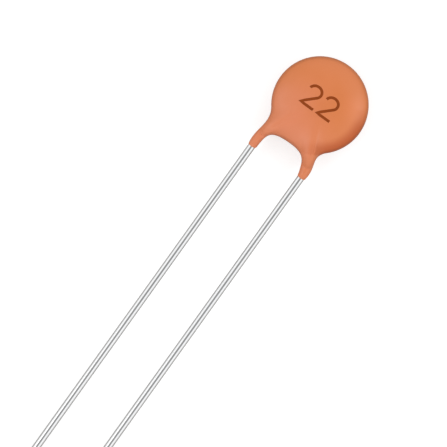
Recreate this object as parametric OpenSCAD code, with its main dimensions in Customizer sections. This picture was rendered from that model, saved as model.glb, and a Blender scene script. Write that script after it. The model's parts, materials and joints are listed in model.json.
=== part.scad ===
// Ceramic disc capacitor: a fired ceramic disc with a silver electrode on each face, a tinned
// lead soldered to each electrode, and a dipped resin coating that runs a little way down the leads.
// It lies as it comes to rest on a table, on its rear face and the ends of its two leads.

/* [Ceramic] */
// Diameter of the ceramic disc
ceramic_d = 4.0; // [3.4:0.1:8]
// Thickness of the ceramic disc
ceramic_t = 0.5; // [0.3:0.05:1.5]
// Bare ceramic round each electrode
electrode_margin = 0.3; // [0.1:0.05:0.5]
// Thickness of each silver electrode
electrode_t = 0.03; // [0.01:0.01:0.1]

/* [Leads] */
// Diameter of the lead wire
lead_d = 0.4; // [0.3:0.02:0.6]
// Distance between the two leads
lead_pitch = 3.0; // [2.4:0.1:4]
// Free length of the leads beyond the coating
lead_len = 25; // [5:0.5:40]
// How far the leads' midline lies to the right of the disc's centre
lead_shift = -0.12; // [-0.3:0.02:0.3]
// Radius of each bend, at the wire's centre line
bend_r = 0.6; // [0.4:0.05:0.9]
// Depth inside the coating at which a lead begins to lean and rise
bend_depth = 0.6; // [0.4:0.05:0.7]

/* [Solder joints] */
// Distance between the middles of the two joints, from side to side
joint_spread = 1.16; // [0.6:0.02:1.6]
// Height of the joints' middles above the disc's centre
joint_rise = 0.15; // [-0.2:0.05:0.4]
// Straight length of a joint along its lead
joint_len = 0.8; // [0.4:0.1:1.2]
// Solder between a lead and its electrode
solder_under = 0.02; // [0.01:0.01:0.06]
// Solder over the top of a lead
solder_over = 0.04; // [0.02:0.01:0.1]

/* [Coating] */
// Coating outside the ceramic's rim
coat_rim = 0.5; // [0.35:0.05:1]
// Coating over the solder joints
coat_face = 0.26; // [0.15:0.01:0.6]
// Fullness of the faces: 2 is an ellipse, and more is flatter with a rounder edge
face_fullness = 2.6; // [2.2:0.1:4]
// Length of the left leg below the disc's rim
left_leg = 1.25; // [1.1:0.05:1.8]
// Length of the right leg below the disc's rim
right_leg = 1.15; // [1.1:0.05:1.8]
// Coating on a lead at the end of its leg
tip_film = 0.04; // [0.03:0.01:0.1]

/* [Coating outline] */
// Distance from the disc's midline at which the left leg leaves the rim
left_shoulder = 2.0; // [1.7:0.02:2.1]
// Distance from the disc's midline at which the right leg leaves the rim
right_shoulder = 1.74; // [1.6:0.02:2.1]
// How far the rim's curve carries on into a leg
shoulder_pull = 0.85; // [0.6:0.05:1.1]
// How far up a leg the curve of its end carries
leg_pull = 0.8; // [0.5:0.05:1]
// How far a leg swells outwards over that length
leg_swell = 0.12; // [0:0.02:0.2]
// How much thicker the coating on a lead grows towards the disc
leg_cover = 0.06; // [0.02:0.01:0.12]
// How far past the disc's rim its dome carries on over the root of a leg
root_fill = 0.8; // [0.4:0.05:1]
// Size of the soft blend where a leg runs into the disc's edge
root_blend = 0.5; // [0.2:0.05:0.6]
// How far the web between the legs follows the disc before it turns down the left leg
left_web_reach = 1.2; // [0.7:0.05:1.25]
// How far it follows the disc before it turns down the right leg
right_web_reach = 0.95; // [0.7:0.05:1.25]
// Depth of the web's turn below the disc's rim
web_drop = 0.3; // [0.15:0.05:0.4]
// Width of the web at its turn, beside the left lead
left_web = 0.08; // [0.02:0.02:0.3]
// Width of the web at its turn, beside the right lead
right_web = 0.26; // [0.02:0.02:0.3]

/* [Hidden] */

// The front face looks up and takes the right lead, and the rear face takes the left one
front = 1;
rear = -1;

lead_r = lead_d / 2;
electrode_r = ceramic_d / 2 - electrode_margin;
electrode_face = ceramic_t / 2 + electrode_t;
wire_rise = electrode_face + solder_under + lead_r;
solder_r = solder_under + lead_d + solder_over;
body_r = ceramic_d / 2 + coat_rim;
body_h = electrode_face + solder_r + coat_face;
tip_r = lead_r + tip_film;
seat_y = -ceramic_d / 2;
lead_reach = body_r + max(left_leg, right_leg) + lead_len;

// How finely the coating's skin is divided
leg_steps = 20;
tip_steps = 6;
arc_steps = 66;
edge_steps = 7;
// How finely the formed end of a lead is divided, and how much thinner it is than the straight run
wire_sides = 16;
bend_steps = 5;
seam = 0.004;
// Shares of the way from a leg's tip to the disc's centre at which the leg has its full thickness
// and at which its ridge begins to sink into the face
leg_swell_end = 0.4;
fade_start = 0.6;
// Step by which the ridge's slope is taken, and the step up a leg from which sections follow it
slope_step = 0.01;
slope_from = 3;
// Fullness of a leg's round section
leg_fullness = 2;
$fn = 48;

function leg_end(side) = -body_r - (side == front ? right_leg : left_leg);
function lead_x(side) = lead_shift + side * lead_pitch / 2;
function joint_at(side) = [lead_shift + side * joint_spread / 2, joint_rise];
function bend_at(side) = [lead_x(side), leg_end(side) + bend_depth];

// Direction of the leaning wire in plan, and the wire's place at a given height up the disc
function lean(side) = joint_at(side) - bend_at(side);
function lean_dir(side) = lean(side) / norm(lean(side));
function wire_at(side, y) = bend_at(side) + lean(side) * (y - bend_at(side).y) / lean(side).y;

// The wire's corners: cut end, bend inside the leg, seat beside the ceramic, end in the solder
function wire_corners(side) = [
    [lead_x(side), -lead_reach, 0],
    [each bend_at(side), 0],
    [each wire_at(side, seat_y), side * wire_rise],
    [each joint_at(side) + lean_dir(side) * joint_len / 2, side * wire_rise],
];

function unit(v) = v / norm(v);
function ease(t) = let (c = min(1, max(0, t))) c * c * (3 - 2 * c);
function bezier(p, t) =
    pow(1 - t, 3) * p[0] + 3 * t * pow(1 - t, 2) * p[1] + 3 * t * t * (1 - t) * p[2] + pow(t, 3) * p[3];

// The outline of a leg in plan, as one curve for its outer side and one for its inner side,
// each from the disc (0) to the tip (1), and the ridge between them from the tip to the disc's centre
function tip_centre(side) = [lead_x(side), leg_end(side) + tip_r];
function shoulder(side) = asin((side == front ? right_shoulder : left_shoulder) / body_r);
function rim_point(side) = body_r * [side * sin(shoulder(side)), -cos(shoulder(side))];
function rim_run(side) = [-side * cos(shoulder(side)), -sin(shoulder(side))];
function outer_side(side) = let (tip = tip_centre(side) + [side * tip_r, 0]) [
    rim_point(side),
    rim_point(side) + shoulder_pull * rim_run(side),
    tip + [side * leg_swell, leg_pull],
    tip,
];
web_middle = [lead_shift, -sqrt(body_r * body_r - lead_shift * lead_shift)];
function web_reach(side) = side == front ? right_web_reach : left_web_reach;
function web_width(side) = side == front ? right_web : left_web;
function inner_side(side) = [
    web_middle,
    web_middle + [side * web_reach(side), 0],
    [lead_x(side) - side * (lead_r + web_width(side)), -body_r - web_drop],
    tip_centre(side) - [side * tip_r, 0],
];
function ridge(side) = [tip_centre(side), bend_at(side), wire_at(side, seat_y), [0, 0]];

// Height of the ridge on a face: the disc's dome, carried out over the root of the leg, blended with
// the skin round the wire, which fades out towards the disc's centre
function dome_height(p) =
    body_h * pow(max(0, 1 - pow(norm(p) / (body_r + root_fill), face_fullness)), 1 / face_fullness);
function soft_max(a, b) = max(a, b) + pow(max(0, root_blend - abs(a - b)), 2) / (4 * root_blend);
function wire_height(side, y) =
    wire_rise * min(1, max(0, (y - bend_at(side).y) / (seat_y - bend_at(side).y)));
function ridge_at(side, along) = bezier(ridge(side), ease(along));
function ridge_height(side, along, face) =
    let (
        p = ridge_at(side, along),
        skin_r = tip_r + leg_cover * ease(along / leg_swell_end),
        fade = 1 - ease((along - fade_start) / (1 - fade_start))
    )
    soft_max(dome_height(p), fade * (skin_r + face * side * wire_height(side, p.y)));

// How fast the ridge's height on a face changes towards a rim point, over the whole way there
function ridge_slope(side, along, face, rim) =
    let (
        ahead = ridge_at(side, along + slope_step) - ridge_at(side, along - slope_step),
        rise = ridge_height(side, along + slope_step, face) - ridge_height(side, along - slope_step, face)
    )
    rise * (ahead * (rim - ridge_at(side, along))) / (ahead * ahead);

// A station of the skin: its rim point, the ridge point that it rises to, the ridge's top and low
// heights, the fullness of its section, the section's top and low slopes as it leaves the ridge,
// and the ridge point's number
function leg_station(side, rim, step) = let (along = step / leg_steps) [
    rim,
    ridge_at(side, along),
    ridge_height(side, along, front),
    -ridge_height(side, along, rear),
    leg_fullness + (face_fullness - leg_fullness) * ease(along),
    step < slope_from ? 0 : ridge_slope(side, along, front, rim),
    step < slope_from ? 0 : -ridge_slope(side, along, rear, rim),
    1 + step + (side == front ? 0 : leg_steps),
];
function disc_station(rim) = [rim, [0, 0], body_h, -body_h, face_fullness, 0, 0, 0];
function inner_stations(side, steps) =
    [for (s = steps) leg_station(side, bezier(inner_side(side), 1 - s / leg_steps), s)];
function outer_stations(side, steps) =
    [for (s = steps) leg_station(side, bezier(outer_side(side), 1 - s / leg_steps), s)];
function tip_stations(side) = [
    for (s = [1 : tip_steps - 1])
        let (turn = 180 * s / tip_steps)
            leg_station(side, tip_centre(side) - tip_r * [cos(turn), sin(turn)], 0)
];
arc_start = shoulder(front) - 90;
arc_end = 270 - shoulder(rear);
arc_stations = [
    for (s = [0 : arc_steps])
        let (turn = arc_start + (arc_end - arc_start) * s / arc_steps)
            disc_station(body_r * [cos(turn), sin(turn)])
];
up_leg = [0 : leg_steps - 1];
down_leg = [leg_steps - 1 : -1 : 0];

// Once round the outline, from the middle of the web, down and up each leg and over the disc
stations = [
    disc_station(web_middle),
    each inner_stations(front, down_leg),
    each tip_stations(front),
    each outer_stations(front, up_leg),
    each arc_stations,
    each outer_stations(rear, down_leg),
    each tip_stations(rear),
    each inner_stations(rear, up_leg),
];

// Each station's half section runs from low ridge to top ridge on a superellipse, and leaves each
// ridge with the ridge's own slope, so that the skin has no crease there
station_levels = 2 * edge_steps - 1;
function skin_point(st, level) =
    let (
        turn = 90 * level / edge_steps,
        out = pow(cos(turn), 2 / st[4]),
        up = sign(turn) * pow(abs(sin(turn)), 2 / st[4]),
        middle = (st[2] + st[3]) / 2,
        plan = st[1] + out * (st[0] - st[1]),
        slope = level > 0 ? st[5] : st[6]
    )
    [plan.x, plan.y, middle + up * (st[2] - st[3]) / 2 + slope * out * pow(1 - out, 2)];

ridge_count = 1 + 2 * leg_steps;
function ridge_points(z_slot) = [
    [0, 0, z_slot == 2 ? body_h : -body_h],
    each [
        for (side = [front, rear], step = up_leg)
            let (st = leg_station(side, [0, 0], step)) [st[1].x, st[1].y, st[z_slot]]
    ],
];
skin_points = [
    each [for (st = stations, level = [1 - edge_steps : edge_steps - 1]) skin_point(st, level)],
    each ridge_points(2),
    each ridge_points(3),
];
function skin_index(s, level) = s * station_levels + level + edge_steps - 1;
function top_index(s) = len(stations) * station_levels + stations[s][7];
function low_index(s) = top_index(s) + ridge_count;

function band_faces(s, t) = [
    for (level = [1 - edge_steps : edge_steps - 2])
        each [
            [skin_index(s, level), skin_index(s, level + 1), skin_index(t, level + 1)],
            [skin_index(s, level), skin_index(t, level + 1), skin_index(t, level)],
        ]
];
function top_faces(s, t) = let (a = skin_index(s, edge_steps - 1), b = skin_index(t, edge_steps - 1)) [
    [a, top_index(t), b],
    if (top_index(s) != top_index(t)) [a, top_index(s), top_index(t)],
];
function low_faces(s, t) = let (a = skin_index(s, 1 - edge_steps), b = skin_index(t, 1 - edge_steps)) [
    [low_index(s), a, b],
    if (low_index(s) != low_index(t)) [low_index(s), b, low_index(t)],
];
skin_faces = [
    for (s = [0 : len(stations) - 1])
        let (t = (s + 1) % len(stations))
            each [each low_faces(s, t), each band_faces(s, t), each top_faces(s, t)]
];

// The tilt at which the coating and the lead ends touch the table together
function low_of_coating(tilt) = min([for (p = skin_points) p.y * sin(tilt) + p.z * cos(tilt)]);
function settle(tilt, tries) =
    tries == 0 ? tilt : settle(asin((-low_of_coating(tilt) - lead_r * cos(tilt)) / lead_reach), tries - 1);
rest_tilt = settle(0, 6);
rest_lift = -low_of_coating(rest_tilt);
far_y = max([for (p = skin_points) p.y * cos(rest_tilt) - p.z * sin(rest_tilt)]);
near_y = -lead_reach * cos(rest_tilt) - lead_r * sin(rest_tilt);

module at_rest()
    translate([0, -(far_y + near_y) / 2, rest_lift])
        rotate([rest_tilt, 0, 0])
            children();

// The formed end of a lead: a round tube swept from inside the straight run, through the bend in
// the leg and the bend at the seat, to the solder joint
function turn_angle(a, b, c) = acos(unit(b - a) * unit(c - b));
function bend_setback(a, b, c) = bend_r * tan(turn_angle(a, b, c) / 2);
function bend_path(a, b, c) =
    let (
        go = unit(b - a),
        leave = unit(c - b),
        inward = unit(leave - go * (go * leave)),
        centre = b - go * bend_setback(a, b, c) + inward * bend_r
    )
    [
        for (s = [0 : bend_steps])
            let (turn = turn_angle(a, b, c) * s / bend_steps)
                [centre + bend_r * (go * sin(turn) - inward * cos(turn)), go * cos(turn) + inward * sin(turn)]
    ];
function straight_end(p) = p[1] - unit(p[1] - p[0]) * bend_setback(p[0], p[1], p[2]);
function formed_path(p) = [
    [straight_end(p) - unit(p[1] - p[0]) * lead_r, unit(p[1] - p[0])],
    each bend_path(p[0], p[1], p[2]),
    each bend_path(p[1], p[2], p[3]),
    [p[3], unit(p[3] - p[2])],
];
function tube_ring(place, dir) =
    let (across = unit(cross(dir, [0, 0, 1])), up = cross(across, dir))
    [
        for (s = [0 : wire_sides - 1])
            let (turn = 360 * s / wire_sides)
                place + (lead_r - seam) * (across * cos(turn) + up * sin(turn))
    ];
function tube_faces(rings) = [
    [for (s = [wire_sides - 1 : -1 : 0]) s],
    each [
        for (ring = [0 : rings - 2], s = [0 : wire_sides - 1])
            let (a = ring * wire_sides, t = (s + 1) % wire_sides)
                [a + s, a + t, a + t + wire_sides, a + s + wire_sides]
    ],
    [for (s = [0 : wire_sides - 1]) (rings - 1) * wire_sides + s],
];

module wire(side) {
    corners = wire_corners(side);
    path = formed_path(corners);
    translate(corners[0])
        rotate([-90, 0, 0])
            cylinder(h = straight_end(corners).y - corners[0].y, r = lead_r);
    polyhedron(
        points = [for (stop = path) each tube_ring(stop[0], stop[1])],
        faces = tube_faces(len(path))
    );
}

// A long drop of solder round the end of the lead. It stands on the electrode, and the hollow for it
// in the coating starts at the ceramic's middle, so that the hollows run into each other.
module solder_drop(side, foot) {
    half_run = joint_len / 2 * lean_dir(side);
    intersection() {
        translate([each joint_at(side), side * electrode_face])
            hull()
                for (end = [half_run, -half_run])
                    translate([end.x, end.y, 0])
                        sphere(r = solder_r, $fn = 28);
        translate([-body_r, -body_r, side == front ? foot : -foot - body_h])
            cube([2 * body_r, 2 * body_r, body_h]);
    }
}

module electrode(side, foot)
    translate([0, 0, side == front ? foot : -electrode_face])
        cylinder(h = electrode_face - foot, r = electrode_r);

module ceramic()
    translate([0, 0, -ceramic_t / 2])
        cylinder(h = ceramic_t, r = ceramic_d / 2);

module coating()
    color("#df8a5e")
        at_rest()
            difference() {
                polyhedron(points = skin_points, faces = skin_faces);
                ceramic();
                for (side = [front, rear]) {
                    electrode(side, 0);
                    wire(side);
                    solder_drop(side, 0);
                }
            }

module ceramic_disc()
    color("#e9dcc4")
        at_rest()
            ceramic();

module front_electrode()
    color("#d8d8d4")
        at_rest()
            electrode(front, ceramic_t / 2);

module rear_electrode()
    color("#d8d8d4")
        at_rest()
            electrode(rear, ceramic_t / 2);

module front_lead()
    color("#dfe1e4")
        at_rest()
            wire(front);

module rear_lead()
    color("#dfe1e4")
        at_rest()
            wire(rear);

module solder_joint(side)
    color("#b9bcc0")
        at_rest()
            difference() {
                solder_drop(side, electrode_face);
                wire(side);
            }

module front_solder() solder_joint(front);

module rear_solder() solder_joint(rear);

coating();
ceramic_disc();
front_electrode();
rear_electrode();
front_lead();
rear_lead();
front_solder();
rear_solder();
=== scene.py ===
"""Ceramic disc capacitor over its CAD frame: a dipped coat, two tinned leads and a printed number."""

import json
import math

import bpy
import numpy as np
from mathutils import Matrix, Vector
from mathutils.bvhtree import BVHTree


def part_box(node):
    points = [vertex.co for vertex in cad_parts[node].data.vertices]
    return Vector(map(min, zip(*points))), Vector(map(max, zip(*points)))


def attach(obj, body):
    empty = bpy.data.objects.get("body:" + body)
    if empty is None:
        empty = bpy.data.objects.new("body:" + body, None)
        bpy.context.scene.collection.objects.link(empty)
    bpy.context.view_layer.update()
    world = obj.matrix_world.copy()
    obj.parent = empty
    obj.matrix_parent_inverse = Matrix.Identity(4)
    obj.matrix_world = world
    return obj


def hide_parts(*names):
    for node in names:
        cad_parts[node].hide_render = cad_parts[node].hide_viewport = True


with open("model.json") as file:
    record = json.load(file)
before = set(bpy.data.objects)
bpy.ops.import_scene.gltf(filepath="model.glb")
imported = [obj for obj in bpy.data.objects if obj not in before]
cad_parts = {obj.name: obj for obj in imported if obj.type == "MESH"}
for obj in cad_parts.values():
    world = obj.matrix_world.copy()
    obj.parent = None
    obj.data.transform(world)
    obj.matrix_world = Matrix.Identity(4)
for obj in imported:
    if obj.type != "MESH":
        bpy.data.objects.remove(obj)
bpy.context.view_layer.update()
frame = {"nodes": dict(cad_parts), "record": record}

# The part's own frame, in millimetres: the disc's middle, +y up the disc, +z out of the marked face
MM = 0.001
FRONT, REAR = 1, -1
LEAD_AXIS = frame["record"]["mounts"][0]["axis"]
TILT = math.asin(-LEAD_AXIS[2])
DISC_LOW, DISC_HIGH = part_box("ceramic_disc")
DISC_MIDDLE = (Vector(DISC_LOW) + Vector(DISC_HIGH)) / 2
ROW = np.array(Matrix.Translation(DISC_MIDDLE) @ Matrix.Rotation(TILT, 4, "X") @ Matrix.Scale(MM, 4))

# The picture's right and up on the table
TURN = math.radians(35.59)
IMAGE_RIGHT = Vector((math.cos(TURN), math.sin(TURN), 0))
IMAGE_UP = Vector((-math.sin(TURN), math.cos(TURN), 0))

# Sizes that the construction states, in millimetres
CERAMIC_R = 2.0
BODY_R = 2.5
BODY_H = 1.0
LEAD_R = 0.2
LEAD_LEN = 25.0
LEAD_PITCH = 3.0
LEAD_SHIFT = -0.12
BEND_R = 0.6
BEND_DEPTH = 0.6
WIRE_RISE = 0.5
JOINT_SPREAD = 1.16
JOINT_RISE = 0.15
JOINT_LEN = 0.8
TIP_FILM = 0.04
TIP_R = LEAD_R + TIP_FILM
LEG = {FRONT: 1.15, REAR: 1.25}
LEAD_REACH = BODY_R + max(LEG.values()) + LEAD_LEN
SHOULDER = {FRONT: 1.74, REAR: 2.0}
SHOULDER_PULL = 0.85
WEB_REACH = {FRONT: 0.95, REAR: 1.2}
WEB_WIDTH = {FRONT: 0.26, REAR: 0.08}
WEB_DROP = 0.3
LEG_PULL = 0.8
LEG_SWELL = 0.12
LEG_COVER = 0.06
ROOT_FILL = 0.8
ROOT_BLEND = 0.5

# How full the coat's sections are, and the shares of the way up a leg's ridge at which they change
FACE_FULLNESS = 2.6
LEG_FULLNESS = 2.0
LEG_SWELL_END = 0.4
FADE_START = 0.6
SLOPE_FROM = 0.06
SLOPE_RUN = 0.12
SLOPE_STEP = 0.01

# What only this coat has: a film that creeps down each lead past its leg, and faces that even out,
# less and less towards a radius and towards a share of the way from the ridge to the outline
CREEP = {FRONT: 0.07, REAR: 0.10}
SETTLE_ROUNDS = 70
SETTLE_RATE = 0.6
SETTLE_END_R = 2.75
SETTLE_FADE_R = 0.6
SETTLE_END_SHARE = 0.95
SETTLE_FADE_SHARE = 0.15
SHORTEST_EDGE = 0.0001

# How finely the coat is divided here
LEG_STEPS = 56
TIP_STEPS = 18
ARC_STEPS = 170
EDGE_STEPS = 26


def xy(x, y):
    return np.array([x, y], float)


def unit(v):
    return v / np.linalg.norm(v)


def ease(t):
    """From 0 to 1 with a level start and end, for a number or an array of them."""
    c = np.clip(t, 0, 1)
    return c * c * (3 - 2 * c)


def bezier(p, t):
    return (1 - t) ** 3 * p[0] + 3 * t * (1 - t) ** 2 * p[1] + 3 * t * t * (1 - t) * p[2] + t**3 * p[3]


# Where the leads run


def leg_end(side):
    return -BODY_R - LEG[side]


def lead_x(side):
    return LEAD_SHIFT + side * LEAD_PITCH / 2


def joint_at(side):
    return xy(LEAD_SHIFT + side * JOINT_SPREAD / 2, JOINT_RISE)


def bend_at(side):
    return xy(lead_x(side), leg_end(side) + BEND_DEPTH)


def wire_at(side, y):
    lean = joint_at(side) - bend_at(side)
    return bend_at(side) + lean * (y - bend_at(side)[1]) / lean[1]


# The coat's outline


def tip_centre(side):
    return xy(lead_x(side), leg_end(side) - CREEP[side] + TIP_R)


def shoulder_angle(side):
    return math.asin(SHOULDER[side] / BODY_R)


WEB_MIDDLE = xy(LEAD_SHIFT, -math.sqrt(BODY_R**2 - LEAD_SHIFT**2))


def outer_side(side):
    a = shoulder_angle(side)
    rim = BODY_R * xy(side * math.sin(a), -math.cos(a))
    run = xy(-side * math.cos(a), -math.sin(a))
    tip = tip_centre(side) + xy(side * TIP_R, 0)
    return [rim, rim + SHOULDER_PULL * run, tip + xy(side * LEG_SWELL, LEG_PULL), tip]


def inner_side(side):
    reach = WEB_MIDDLE + xy(side * WEB_REACH[side], 0)
    turn = xy(lead_x(side) - side * (LEAD_R + WEB_WIDTH[side]), -BODY_R - WEB_DROP)
    tip = tip_centre(side) - xy(side * TIP_R, 0)
    return [WEB_MIDDLE, reach, turn, tip]


# The coat's skin: sections from a ridge, over each wire and the disc's middle, to the outline


def ridge_at(side, along):
    return bezier([tip_centre(side), bend_at(side), wire_at(side, -CERAMIC_R), xy(0, 0)], ease(along))


def ridge_height(side, along, face):
    p = ridge_at(side, along)
    reach = np.linalg.norm(p) / (BODY_R + ROOT_FILL)
    dome = BODY_H * max(0.0, 1 - reach**FACE_FULLNESS) ** (1 / FACE_FULLNESS)
    skin = TIP_R + LEG_COVER * ease(along / LEG_SWELL_END)
    climb = np.clip((p[1] - bend_at(side)[1]) / (-CERAMIC_R - bend_at(side)[1]), 0, 1)
    wire = (1 - ease((along - FADE_START) / (1 - FADE_START))) * (skin + face * side * WIRE_RISE * climb)
    return max(dome, wire) + max(0.0, ROOT_BLEND - abs(dome - wire)) ** 2 / (4 * ROOT_BLEND)


def ridge_slope(side, along, face, rim):
    """How much the ridge rises towards a point of the outline, so that the skin has no crease on it."""
    before, after = along - SLOPE_STEP, along + SLOPE_STEP
    ahead = ridge_at(side, after) - ridge_at(side, before)
    rise = ridge_height(side, after, face) - ridge_height(side, before, face)
    return rise * ahead.dot(rim - ridge_at(side, along)) / ahead.dot(ahead)


def leg_station(side, rim, step):
    along = step / LEG_STEPS
    lean = ease((along - SLOPE_FROM) / SLOPE_RUN)
    return {
        "rim": rim,
        "ridge": ridge_at(side, along),
        "top": ridge_height(side, along, FRONT),
        "low": -ridge_height(side, along, REAR),
        "fullness": LEG_FULLNESS + (FACE_FULLNESS - LEG_FULLNESS) * ease(along),
        "top_slope": lean * ridge_slope(side, along, FRONT, rim) if lean else 0.0,
        "low_slope": -lean * ridge_slope(side, along, REAR, rim) if lean else 0.0,
        "apex": (side, step),
    }


def disc_station(rim):
    return {
        "rim": rim,
        "ridge": xy(0, 0),
        "top": BODY_H,
        "low": -BODY_H,
        "fullness": FACE_FULLNESS,
        "top_slope": 0.0,
        "low_slope": 0.0,
        "apex": (0, 0),
    }


def outline_stations():
    """Once round the coat's outline: from the web's middle, down and up each leg and over the disc."""

    def up(side, curve):
        return [leg_station(side, bezier(curve, 1 - s / LEG_STEPS), s) for s in range(LEG_STEPS)]

    def tip(side):
        turns = [math.pi * s / TIP_STEPS for s in range(1, TIP_STEPS)]
        rims = [tip_centre(side) - TIP_R * xy(math.cos(t), math.sin(t)) for t in turns]
        return [leg_station(side, rim, 0) for rim in rims]

    start, end = shoulder_angle(FRONT) - math.pi / 2, 1.5 * math.pi - shoulder_angle(REAR)
    turns = [start + (end - start) * s / ARC_STEPS for s in range(ARC_STEPS + 1)]
    arc = [disc_station(BODY_R * xy(math.cos(t), math.sin(t))) for t in turns]
    return (
        [disc_station(WEB_MIDDLE)]
        + up(FRONT, inner_side(FRONT))[::-1]
        + tip(FRONT)
        + up(FRONT, outer_side(FRONT))
        + arc
        + up(REAR, outer_side(REAR))[::-1]
        + tip(REAR)
        + up(REAR, inner_side(REAR))
    )


def coat_skin():
    """The coat's outer skin: points, faces and each point's share of the way from ridge to rim."""
    points, shares, faces, apexes = [], [], [], {}

    def add(p, share):
        points.append(p)
        shares.append(share)
        return len(points) - 1

    grid = []
    for st in outline_stations():
        column = []
        middle, half = (st["top"] + st["low"]) / 2, (st["top"] - st["low"]) / 2
        for level in range(1 - EDGE_STEPS, EDGE_STEPS):
            turn = math.pi / 2 * level / EDGE_STEPS
            out = math.cos(turn) ** (2 / st["fullness"])
            rise = math.copysign(abs(math.sin(turn)) ** (2 / st["fullness"]), turn)
            plan = st["ridge"] + out * (st["rim"] - st["ridge"])
            slope = st["top_slope"] if level > 0 else st["low_slope"]
            column.append(add((*plan, middle + rise * half + slope * out * (1 - out) ** 2), out))
        for face, height in ((FRONT, st["top"]), (REAR, st["low"])):
            key = (face, st["apex"])
            if key not in apexes:
                apexes[key] = add((*st["ridge"], height), 0.0)
        grid.append([apexes[(REAR, st["apex"])]] + column + [apexes[(FRONT, st["apex"])]])
    for a, b in zip(grid, grid[1:] + grid[:1]):
        for k in range(len(a) - 1):
            loop = [a[k], a[k + 1], b[k + 1], b[k]]
            faces.append([v for i, v in enumerate(loop) if v != loop[i - 1]])
    return np.array(points), faces, np.array(shares)


def settle_faces(points, faces, shares):
    """Lets the faces of the disc even out, as wet resin does. The rim and the legs stay as they are."""
    edges = {tuple(sorted((f[i], f[i - 1]))) for f in faces for i in range(len(f))}
    a, b = np.array(sorted(edges)).T
    weight = 1 / np.maximum(np.linalg.norm(points[a, :2] - points[b, :2], axis=1), SHORTEST_EDGE)
    total = np.zeros(len(points))
    np.add.at(total, a, weight)
    np.add.at(total, b, weight)
    reach = np.hypot(points[:, 0], points[:, 1])
    free = np.clip((SETTLE_END_R - reach) / SETTLE_FADE_R, 0, 1)
    free *= np.clip((SETTLE_END_SHARE - shares) / SETTLE_FADE_SHARE, 0, 1)
    z = points[:, 2]
    for _ in range(SETTLE_ROUNDS):
        mean = np.zeros(len(points))
        np.add.at(mean, a, weight * z[b])
        np.add.at(mean, b, weight * z[a])
        z += SETTLE_RATE * free * (mean / total - z)


def make_mesh(name, points, faces, material, slot):
    mesh = bpy.data.meshes.new(name)
    placed = np.asarray(points, float) @ ROW[:3, :3].T + ROW[:3, 3]
    mesh.from_pydata(placed.tolist(), [], [list(f) for f in faces])
    mesh.validate()
    mesh.polygons.foreach_set("use_smooth", [True] * len(mesh.polygons))
    mesh.materials.append(material)
    obj = bpy.data.objects.new(name, mesh)
    bpy.context.scene.collection.objects.link(obj)
    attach(obj, "root")
    return obj


# Materials


class Nodes:
    """A short way to add and join nodes in one tree."""

    def __init__(self, tree):
        self.tree = tree
        tree.nodes.clear()

    def add(self, kind, **values):
        node = self.tree.nodes.new(kind)
        for key, value in values.items():
            setattr(node, key, value)
        return node

    def join(self, a, b):
        self.tree.links.new(a, b)

    def ramp(self, source, stops):
        node = self.add("ShaderNodeValToRGB")
        ends = node.color_ramp.elements
        for place, _ in stops[2:]:
            ends.new(place)
        for element, (place, colour) in zip(sorted(ends, key=lambda e: e.position), sorted(stops)):
            element.position = place
            element.color = (*colour, 1)
        self.join(source, node.inputs["Fac"])
        return node.outputs["Color"]

    def noise(self, scale, detail, roughness, stretch=(1, 1, 1), lift=(0, 0, 0)):
        coords = self.add("ShaderNodeTexCoord")
        place = self.add("ShaderNodeMapping")
        place.inputs["Scale"].default_value = stretch
        place.inputs["Location"].default_value = lift
        node = self.add("ShaderNodeTexNoise")
        node.inputs["Scale"].default_value = scale
        node.inputs["Detail"].default_value = detail
        node.inputs["Roughness"].default_value = roughness
        self.join(coords.outputs["Object"], place.inputs["Vector"])
        self.join(place.outputs["Vector"], node.inputs["Vector"])
        return node.outputs["Fac"]

    def bump(self, height, strength, distance):
        node = self.add("ShaderNodeBump")
        node.inputs["Strength"].default_value = strength
        node.inputs["Distance"].default_value = distance
        self.join(height, node.inputs["Height"])
        return node.outputs["Normal"]

    def by_ray(self, camera, others, output):
        """Ends the tree with one shader for the camera's own rays and one for all the others."""
        path = self.add("ShaderNodeLightPath")
        pick = self.add("ShaderNodeMixShader")
        self.join(path.outputs["Is Camera Ray"], pick.inputs[0])
        self.join(others.outputs[0], pick.inputs[1])
        self.join(camera.outputs[0], pick.inputs[2])
        self.join(pick.outputs[0], self.add(output).inputs["Surface"])


def new_material(name):
    material = bpy.data.materials.new(name)
    material.use_nodes = True
    nodes = Nodes(material.node_tree)
    shader = nodes.add("ShaderNodeBsdfPrincipled")
    output = nodes.add("ShaderNodeOutputMaterial")
    nodes.join(shader.outputs["BSDF"], output.inputs["Surface"])
    return material, nodes, shader


def grey(v):
    return (v, v, v)


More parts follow.
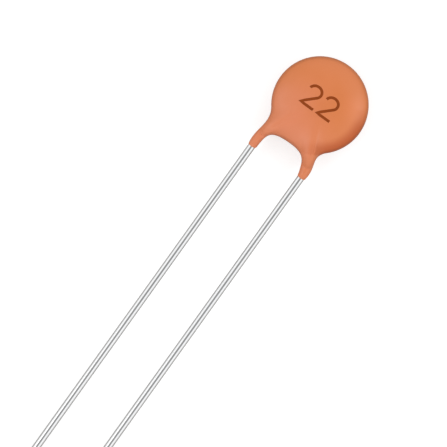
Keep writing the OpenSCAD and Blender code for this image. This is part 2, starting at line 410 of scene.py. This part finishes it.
def coat_material():
    """Mottled resin, its colour changed by shares set on each point of the coat further down: painted
    shade at the outline and in a crescent along the rim to the right of the right leg, a painted sheen
    on the left half of the face and a painted highlight in a patch at the right.
    """
    material, nodes, shader = new_material("dipped_resin")
    mottle = nodes.noise(420.0, detail=2.0, roughness=0.5)
    tone = nodes.ramp(mottle, [(0.3, (0.71, 0.205, 0.060)), (0.7, (0.75, 0.225, 0.078))])
    for name, stops in (
        # painted shade: the coat darker towards its outline, where the rounded rim turns away from the
        # light
        ("edge", [(0.92, grey(1.0)), (1.0, grey(0.78))]),
        # painted shade: a darker, redder crescent along the rim to the right of the right leg
        ("painted_shade", [(0.0, grey(1.0)), (1.0, (0.77, 0.52, 0.28))]),
        # painted sheen: paler and bluer on the left half of the face, a little warmer and darker
        # elsewhere
        ("painted_sheen", [(0.0, (0.97, 0.95, 0.86)), (1.0, (1.0, 1.04, 1.4))]),
        # painted highlight: a paler, brighter patch at the right of the face
        ("painted_highlight", [(0.0, grey(1.0)), (1.0, (1.07, 1.09, 1.25))]),
    ):
        share = nodes.add("ShaderNodeAttribute", attribute_name=name)
        mix = nodes.add("ShaderNodeMix", data_type="RGBA", blend_type="MULTIPLY")
        mix.inputs["Factor"].default_value = 1.0
        nodes.join(tone, mix.inputs["A"])
        nodes.join(nodes.ramp(share.outputs["Fac"], stops), mix.inputs["B"])
        tone = mix.outputs["Result"]
    nodes.join(tone, shader.inputs["Base Color"])
    speckle = nodes.noise(2600.0, detail=4.0, roughness=0.6)
    nodes.join(nodes.ramp(speckle, [(0.3, grey(0.38)), (0.7, grey(0.50))]), shader.inputs["Roughness"])
    peel = nodes.noise(1500.0, detail=3.0, roughness=0.55)
    nodes.join(nodes.bump(peel, strength=0.12, distance=0.00003), shader.inputs["Normal"])
    return material


def tin_material():
    material, nodes, shader = new_material("tinned_wire")
    shader.inputs["Metallic"].default_value = 1.0
    streak = nodes.noise(900.0, detail=4.0, roughness=0.6, stretch=(6, 0.25, 6))
    tone = nodes.ramp(streak, [(0.3, (0.90, 0.91, 0.92)), (0.7, (0.95, 0.955, 0.96))])
    nodes.join(tone, shader.inputs["Base Color"])
    patch = nodes.noise(700.0, detail=3.0, roughness=0.5, stretch=(2, 0.5, 2), lift=(3, 1, 7))
    nodes.join(nodes.ramp(patch, [(0.3, grey(0.10)), (0.7, grey(0.18))]), shader.inputs["Roughness"])
    nodes.join(nodes.bump(streak, strength=0.08, distance=0.00001), shader.inputs["Normal"])
    return material


def ink_material():
    material, nodes, shader = new_material("brown_ink")
    grain = nodes.noise(1800.0, detail=4.0, roughness=0.6)
    tone = nodes.ramp(grain, [(0.25, (0.25, 0.045, 0.003)), (0.75, (0.30, 0.056, 0.006))])
    nodes.join(tone, shader.inputs["Base Color"])
    nodes.join(nodes.ramp(grain, [(0.3, grey(0.55)), (0.7, grey(0.7))]), shader.inputs["Roughness"])
    shader.inputs["Specular IOR Level"].default_value = 0.15
    return material


def inner_material(name, dark, light, rough, metallic, scale):
    material, nodes, shader = new_material(name)
    grain = nodes.noise(scale, detail=4.0, roughness=0.6)
    nodes.join(nodes.ramp(grain, [(0.3, dark), (0.7, light)]), shader.inputs["Base Color"])
    finish = nodes.ramp(grain, [(0.3, grey(rough - 0.06)), (0.7, grey(rough + 0.06))])
    nodes.join(finish, shader.inputs["Roughness"])
    shader.inputs["Metallic"].default_value = metallic
    return material


def table_material():
    """White where the camera sees it, and grey in the light that it sends back to the part."""
    material = bpy.data.materials.new("pale_table")
    material.use_nodes = True
    nodes = Nodes(material.node_tree)
    surface = nodes.add("ShaderNodeBsdfDiffuse")
    surface.inputs["Color"].default_value = (0.5, 0.5, 0.5, 1)
    glow = nodes.add("ShaderNodeEmission")
    glow.inputs["Strength"].default_value = 0.65
    lit = nodes.add("ShaderNodeAddShader")
    nodes.join(surface.outputs[0], lit.inputs[0])
    nodes.join(glow.outputs[0], lit.inputs[1])
    bounce = nodes.add("ShaderNodeBsdfDiffuse")
    bounce.inputs["Color"].default_value = (0.42, 0.41, 0.40, 1)
    nodes.by_ray(lit, bounce, "ShaderNodeOutputMaterial")
    return material


resin = coat_material()
tin = tin_material()
ink = ink_material()
ceramic = inner_material("fired_ceramic", (0.74, 0.64, 0.47), (0.83, 0.75, 0.58), 0.75, 0.0, 3000.0)
silver = inner_material("fired_silver", (0.74, 0.74, 0.72), (0.84, 0.84, 0.82), 0.5, 1.0, 4000.0)
solder = inner_material("frozen_solder", (0.50, 0.51, 0.53), (0.60, 0.61, 0.63), 0.35, 1.0, 2500.0)

for node, material in (
    ("ceramic_disc", ceramic),
    ("front_electrode", silver),
    ("rear_electrode", silver),
    ("front_solder", solder),
    ("rear_solder", solder),
):
    data = frame["nodes"][node].data
    data.materials.clear()
    data.materials.append(material)

# The coat, with the places of its painted shade, sheen and highlight in the picture: millimetres from
# the disc's middle, shares of the disc's radius for the painted shade's start, run and end, and degrees
# from the picture's right

SHADE_START, SHADE_RUN, SHADE_END = 0.70, 0.22, 1.04
SHADE_BEARING, SHADE_SPREAD, SHADE_FADE = -58, 62, 45
SHEEN_RIGHT, SHEEN_RIGHT_FADE = 1.2, 2.6
SHEEN_TOP, SHEEN_TOP_FADE = 1.9, 1.6
HIGHLIGHT_RIGHT, HIGHLIGHT_UP, HIGHLIGHT_R = 1.9, -0.15, 1.1


def painted_light_shares(points, shares):
    """Painted light on the resin, as shares for each point of the coat.

    Painted shade darkens it at the outline and in a crescent along the rim to the right of the right
    leg, a painted sheen makes it paler and bluer on the left half of the face, and a painted highlight
    makes it paler in a patch at the right.
    """
    reach = np.hypot(points[:, 0], points[:, 1]) / BODY_R
    right, up = np.array([IMAGE_RIGHT.to_2d(), IMAGE_UP.to_2d()]) @ points[:, :2].T
    aside = np.abs(np.degrees(np.arctan2(up, right)) - SHADE_BEARING)
    # painted shade: a crescent along the rim, fading in towards the outline and out to each side of its
    # bearing
    painted_shade = ease((reach - SHADE_START) / SHADE_RUN) * ease((SHADE_SPREAD - aside) / SHADE_FADE)
    return {
        "edge": shares,
        "painted_shade": painted_shade * (reach < SHADE_END),
        "painted_sheen": ease((SHEEN_RIGHT - right) / SHEEN_RIGHT_FADE) * ease((SHEEN_TOP - up) / SHEEN_TOP_FADE),
        "painted_highlight": ease(1 - np.hypot(right - HIGHLIGHT_RIGHT, up - HIGHLIGHT_UP) / HIGHLIGHT_R),
    }


skin_points, skin_faces, skin_shares = coat_skin()
settle_faces(skin_points, skin_faces, skin_shares)
coat = make_mesh("dipped_coat", skin_points, skin_faces, resin, "coating")
# The painted shade, sheen and highlight, stored as shares on the coat's points
for name, values in painted_light_shares(skin_points, skin_shares).items():
    layer = coat.data.attributes.new(name, "FLOAT", "POINT")
    layer.data.foreach_set("value", values.astype(np.float32))
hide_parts("coating")

# The leads, with the cut end as distances from it and the shares of the wire's radius there

LEAD_SIDES = 64
LEAD_STEPS = 60
BEND_STEPS = 14
CUT_END = ((0.0, 0.80), (0.012, 0.93), (0.04, 1.0))


def bend_arc(a, b, c):
    """Places and directions along the round bend at b, on the way from a to c."""
    go, leave = unit(b - a), unit(c - b)
    angle = math.acos(float(np.clip(go.dot(leave), -1, 1)))
    inward = unit(leave - go * go.dot(leave))
    centre = b - go * BEND_R * math.tan(angle / 2) + inward * BEND_R
    stops = []
    for s in range(BEND_STEPS + 1):
        t = angle * s / BEND_STEPS
        place = centre + BEND_R * (go * math.sin(t) - inward * math.cos(t))
        stops.append((place, go * math.cos(t) + inward * math.sin(t)))
    return stops


def lead_stops(side):
    """Places, directions and shares of the wire's radius, from the cut end to the solder joint's end."""
    past_joint = joint_at(side) + unit(joint_at(side) - bend_at(side)) * JOINT_LEN / 2
    cut = np.array([lead_x(side), -LEAD_REACH, 0.0])
    bend = np.array([*bend_at(side), 0.0])
    seat = np.array([*wire_at(side, -CERAMIC_R), side * WIRE_RISE])
    end = np.array([*past_joint, side * WIRE_RISE])
    bends = bend_arc(cut, bend, seat) + bend_arc(bend, seat, end)
    go = unit(bend - cut)
    run = np.linalg.norm(bends[0][0] - cut)
    stops = [(cut + go * far, go, share) for far, share in CUT_END]
    stops += [(cut + go * run * s / LEAD_STEPS, go, 1.0) for s in range(1, LEAD_STEPS)]
    stops += [(place, way, 1.0) for place, way in bends]
    return stops + [(end, unit(end - seat), 1.0)]


def lead_mesh(side):
    points, faces = [], []
    for place, way, share in lead_stops(side):
        across = unit(np.cross(way, [0.0, 0.0, 1.0]))
        rise = np.cross(across, way)
        for s in range(LEAD_SIDES):
            t = 2 * math.pi * s / LEAD_SIDES
            points.append(place + LEAD_R * share * (across * math.cos(t) + rise * math.sin(t)))
    last = len(points) - LEAD_SIDES
    for a in range(0, last, LEAD_SIDES):
        b = a + LEAD_SIDES
        for s in range(LEAD_SIDES):
            t = (s + 1) % LEAD_SIDES
            faces.append([a + s, a + t, b + t, b + s])
    faces.append(list(range(LEAD_SIDES))[::-1])
    faces.append([last + s for s in range(LEAD_SIDES)])
    return points, faces


for name, side, node in (
    ("tinned_lead_front", FRONT, "front_lead"),
    ("tinned_lead_rear", REAR, "rear_lead"),
):
    lead = make_mesh(name, *lead_mesh(side), tin, "tinned_wire")
    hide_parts(node)

# The printed number: two figures of one stroke each, laid on the coat's face, in millimetres and degrees

STROKE = 0.14
INK = 0.005
FIGURE_PITCH = xy(1.03, -0.01)
BOWL_AT = xy(-0.57, 0.385)
BOWL_R = xy(0.345, 0.305)
HOOK_END, NECK_START = 172, -45
CORNER = xy(-0.955, -0.43)
FOOT_END = xy(-0.145, -0.43)
CORNER_REACH = 1.25
BOWL_STEPS = 40
STRAIGHT_STEPS = 10
# The straights have no points this near to the corner, where a stroke's inner side would fold
CORNER_CLEAR = 3
STROKE_STEPS = 4


def figure_line():
    """The middle of a two's stroke, with hook, bowl, straight neck and foot, and its corner's number."""
    line = []
    for k in range(BOWL_STEPS + 1):
        t = math.radians(HOOK_END + (NECK_START - HOOK_END) * k / BOWL_STEPS)
        line.append(BOWL_AT + BOWL_R * xy(math.cos(t), math.sin(t)))
    neck = line[-1]
    before = range(1, STRAIGHT_STEPS - CORNER_CLEAR + 1)
    after = range(CORNER_CLEAR, STRAIGHT_STEPS + 1)
    line += [neck + (CORNER - neck) * k / STRAIGHT_STEPS for k in before]
    corner = len(line)
    line += [CORNER] + [CORNER + (FOOT_END - CORNER) * k / STRAIGHT_STEPS for k in after]
    return line, corner


def face_height(tree, x, y):
    place, _, _, _ = tree.ray_cast(Vector((x, y, 2 * BODY_R)), Vector((0, 0, -1)))
    return place.z


def figure_mesh(tree, shift):
    """One figure as a thin closed strip of ink that follows the coat's face."""
    line, corner = figure_line()
    line = [p + shift for p in line]
    points, faces = [], []
    for i, p in enumerate(line):
        before = unit(p - line[i - 1]) if i else unit(line[1] - line[0])
        after = unit(line[i + 1] - p) if i + 1 < len(line) else before
        left = xy(-before[1], before[0])
        mitre = unit(left + xy(-after[1], after[0]))
        inner = mitre / mitre.dot(left)
        outer = mitre * CORNER_REACH if i == corner else inner
        for lift in (INK, -INK):
            for k in range(STROKE_STEPS + 1):
                share = k / STROKE_STEPS - 0.5
                q = p + (inner if share > 0 else outer) * STROKE * share
                points.append((*q, face_height(tree, *q) + lift))
    low = STROKE_STEPS + 1
    row = 2 * low
    last = len(points) - row
    for a in range(0, last, row):
        b = a + row
        for k in range(STROKE_STEPS):
            faces.append([a + k, a + k + 1, b + k + 1, b + k])
            faces.append([a + low + k + 1, a + low + k, b + low + k, b + low + k + 1])
        faces.append([a, b, b + low, a + low])
        faces.append([b + low - 1, a + low - 1, a + row - 1, b + row - 1])
    for k in range(STROKE_STEPS):
        faces.append([k, low + k, low + k + 1, k + 1])
        faces.append([last + k + 1, last + low + k + 1, last + low + k, last + k])
    return points, faces


coat_tree = BVHTree.FromPolygons([Vector(p) for p in skin_points], skin_faces)
for name, shift in (("figure_left", xy(0, 0)), ("figure_right", FIGURE_PITCH)):
    make_mesh(name, *figure_mesh(coat_tree, shift), ink, "coating")

# The table, the surroundings, the lamps and the camera, in metres and degrees

TABLE_HALF = 0.6
TABLE_CORNERS = [(-1, -1), (1, -1), (1, 1), (-1, 1)]
# Brightness of the surroundings, from level with the table to overhead
SKY = [(0.0, 0.7), (0.3, 0.95), (0.78, 1.04), (0.88, 0.80), (0.95, 0.31), (1.0, 0.27)]
LAMP_DISTANCE = 0.4
LAMP_POWER = 0.24
LENS = 250.0
SENSOR = 36.0
FRAME_WIDTH = 0.022925
# The middle of the picture, seen from the disc's middle, in millimetres
LOOK_RIGHT, LOOK_UP = -4.945, -6.081


def make_studio():
    """Bright all round and dark overhead to the part, and white to the camera."""
    world = bpy.data.worlds.new("studio")
    bpy.context.scene.world = world
    world.use_nodes = True
    nodes = Nodes(world.node_tree)
    coords = nodes.add("ShaderNodeTexCoord")
    split = nodes.add("ShaderNodeSeparateXYZ")
    nodes.join(coords.outputs["Generated"], split.inputs[0])
    surround = nodes.add("ShaderNodeBackground")
    sky = nodes.ramp(split.outputs["Z"], [(height, grey(bright)) for height, bright in SKY])
    nodes.join(sky, surround.inputs["Color"])
    white = nodes.add("ShaderNodeBackground")
    white.inputs["Color"].default_value = (1, 1, 1, 1)
    nodes.by_ray(white, surround, "ShaderNodeOutputWorld")


def soft_lamp(name, right, up, from_top, size):
    """A round lamp over the disc, leaning from straight up towards a direction in the picture."""
    lean = (IMAGE_RIGHT * right + IMAGE_UP * up).normalized()
    t = math.radians(from_top)
    way = lean * math.sin(t) + Vector((0, 0, math.cos(t)))
    data = bpy.data.lights.new(name, "AREA")
    data.shape = "DISK"
    data.size = size
    data.energy = LAMP_POWER
    lamp = bpy.data.objects.new(name, data)
    lamp.location = DISC_MIDDLE + way * LAMP_DISTANCE
    lamp.rotation_mode = "QUATERNION"
    lamp.rotation_quaternion = (-way).to_track_quat("-Z", "Y")
    bpy.context.scene.collection.objects.link(lamp)


def make_camera():
    """A long lens straight above, turned as the photo is."""
    data = bpy.data.cameras.new("camera")
    data.lens = LENS
    data.sensor_width = SENSOR
    data.clip_start = 0.005
    data.clip_end = 5.0
    camera = bpy.data.objects.new("camera", data)
    look_at = DISC_MIDDLE + (IMAGE_RIGHT * LOOK_RIGHT + IMAGE_UP * LOOK_UP) * MM
    back = Vector((0, 0, 1))
    camera.location = look_at + back * FRAME_WIDTH * LENS / SENSOR
    camera.rotation_mode = "QUATERNION"
    camera.rotation_quaternion = Matrix((IMAGE_RIGHT, IMAGE_UP, back)).transposed().to_quaternion()
    bpy.context.scene.collection.objects.link(camera)
    bpy.context.scene.camera = camera


floor_mesh = bpy.data.meshes.new("table")
floor_points = [(TABLE_HALF * x, TABLE_HALF * y, 0) for x, y in TABLE_CORNERS]
floor_mesh.from_pydata(floor_points, [], [[0, 1, 2, 3]])
floor_mesh.materials.append(table_material())
floor = bpy.data.objects.new("table", floor_mesh)
bpy.context.scene.collection.objects.link(floor)
make_studio()
soft_lamp("right_lamp", 1.0, -0.05, from_top=52, size=0.16)
soft_lamp("left_lamp", -1.0, -0.1, from_top=50, size=0.30)
make_camera()
bpy.context.scene.view_settings.view_transform = "Standard"
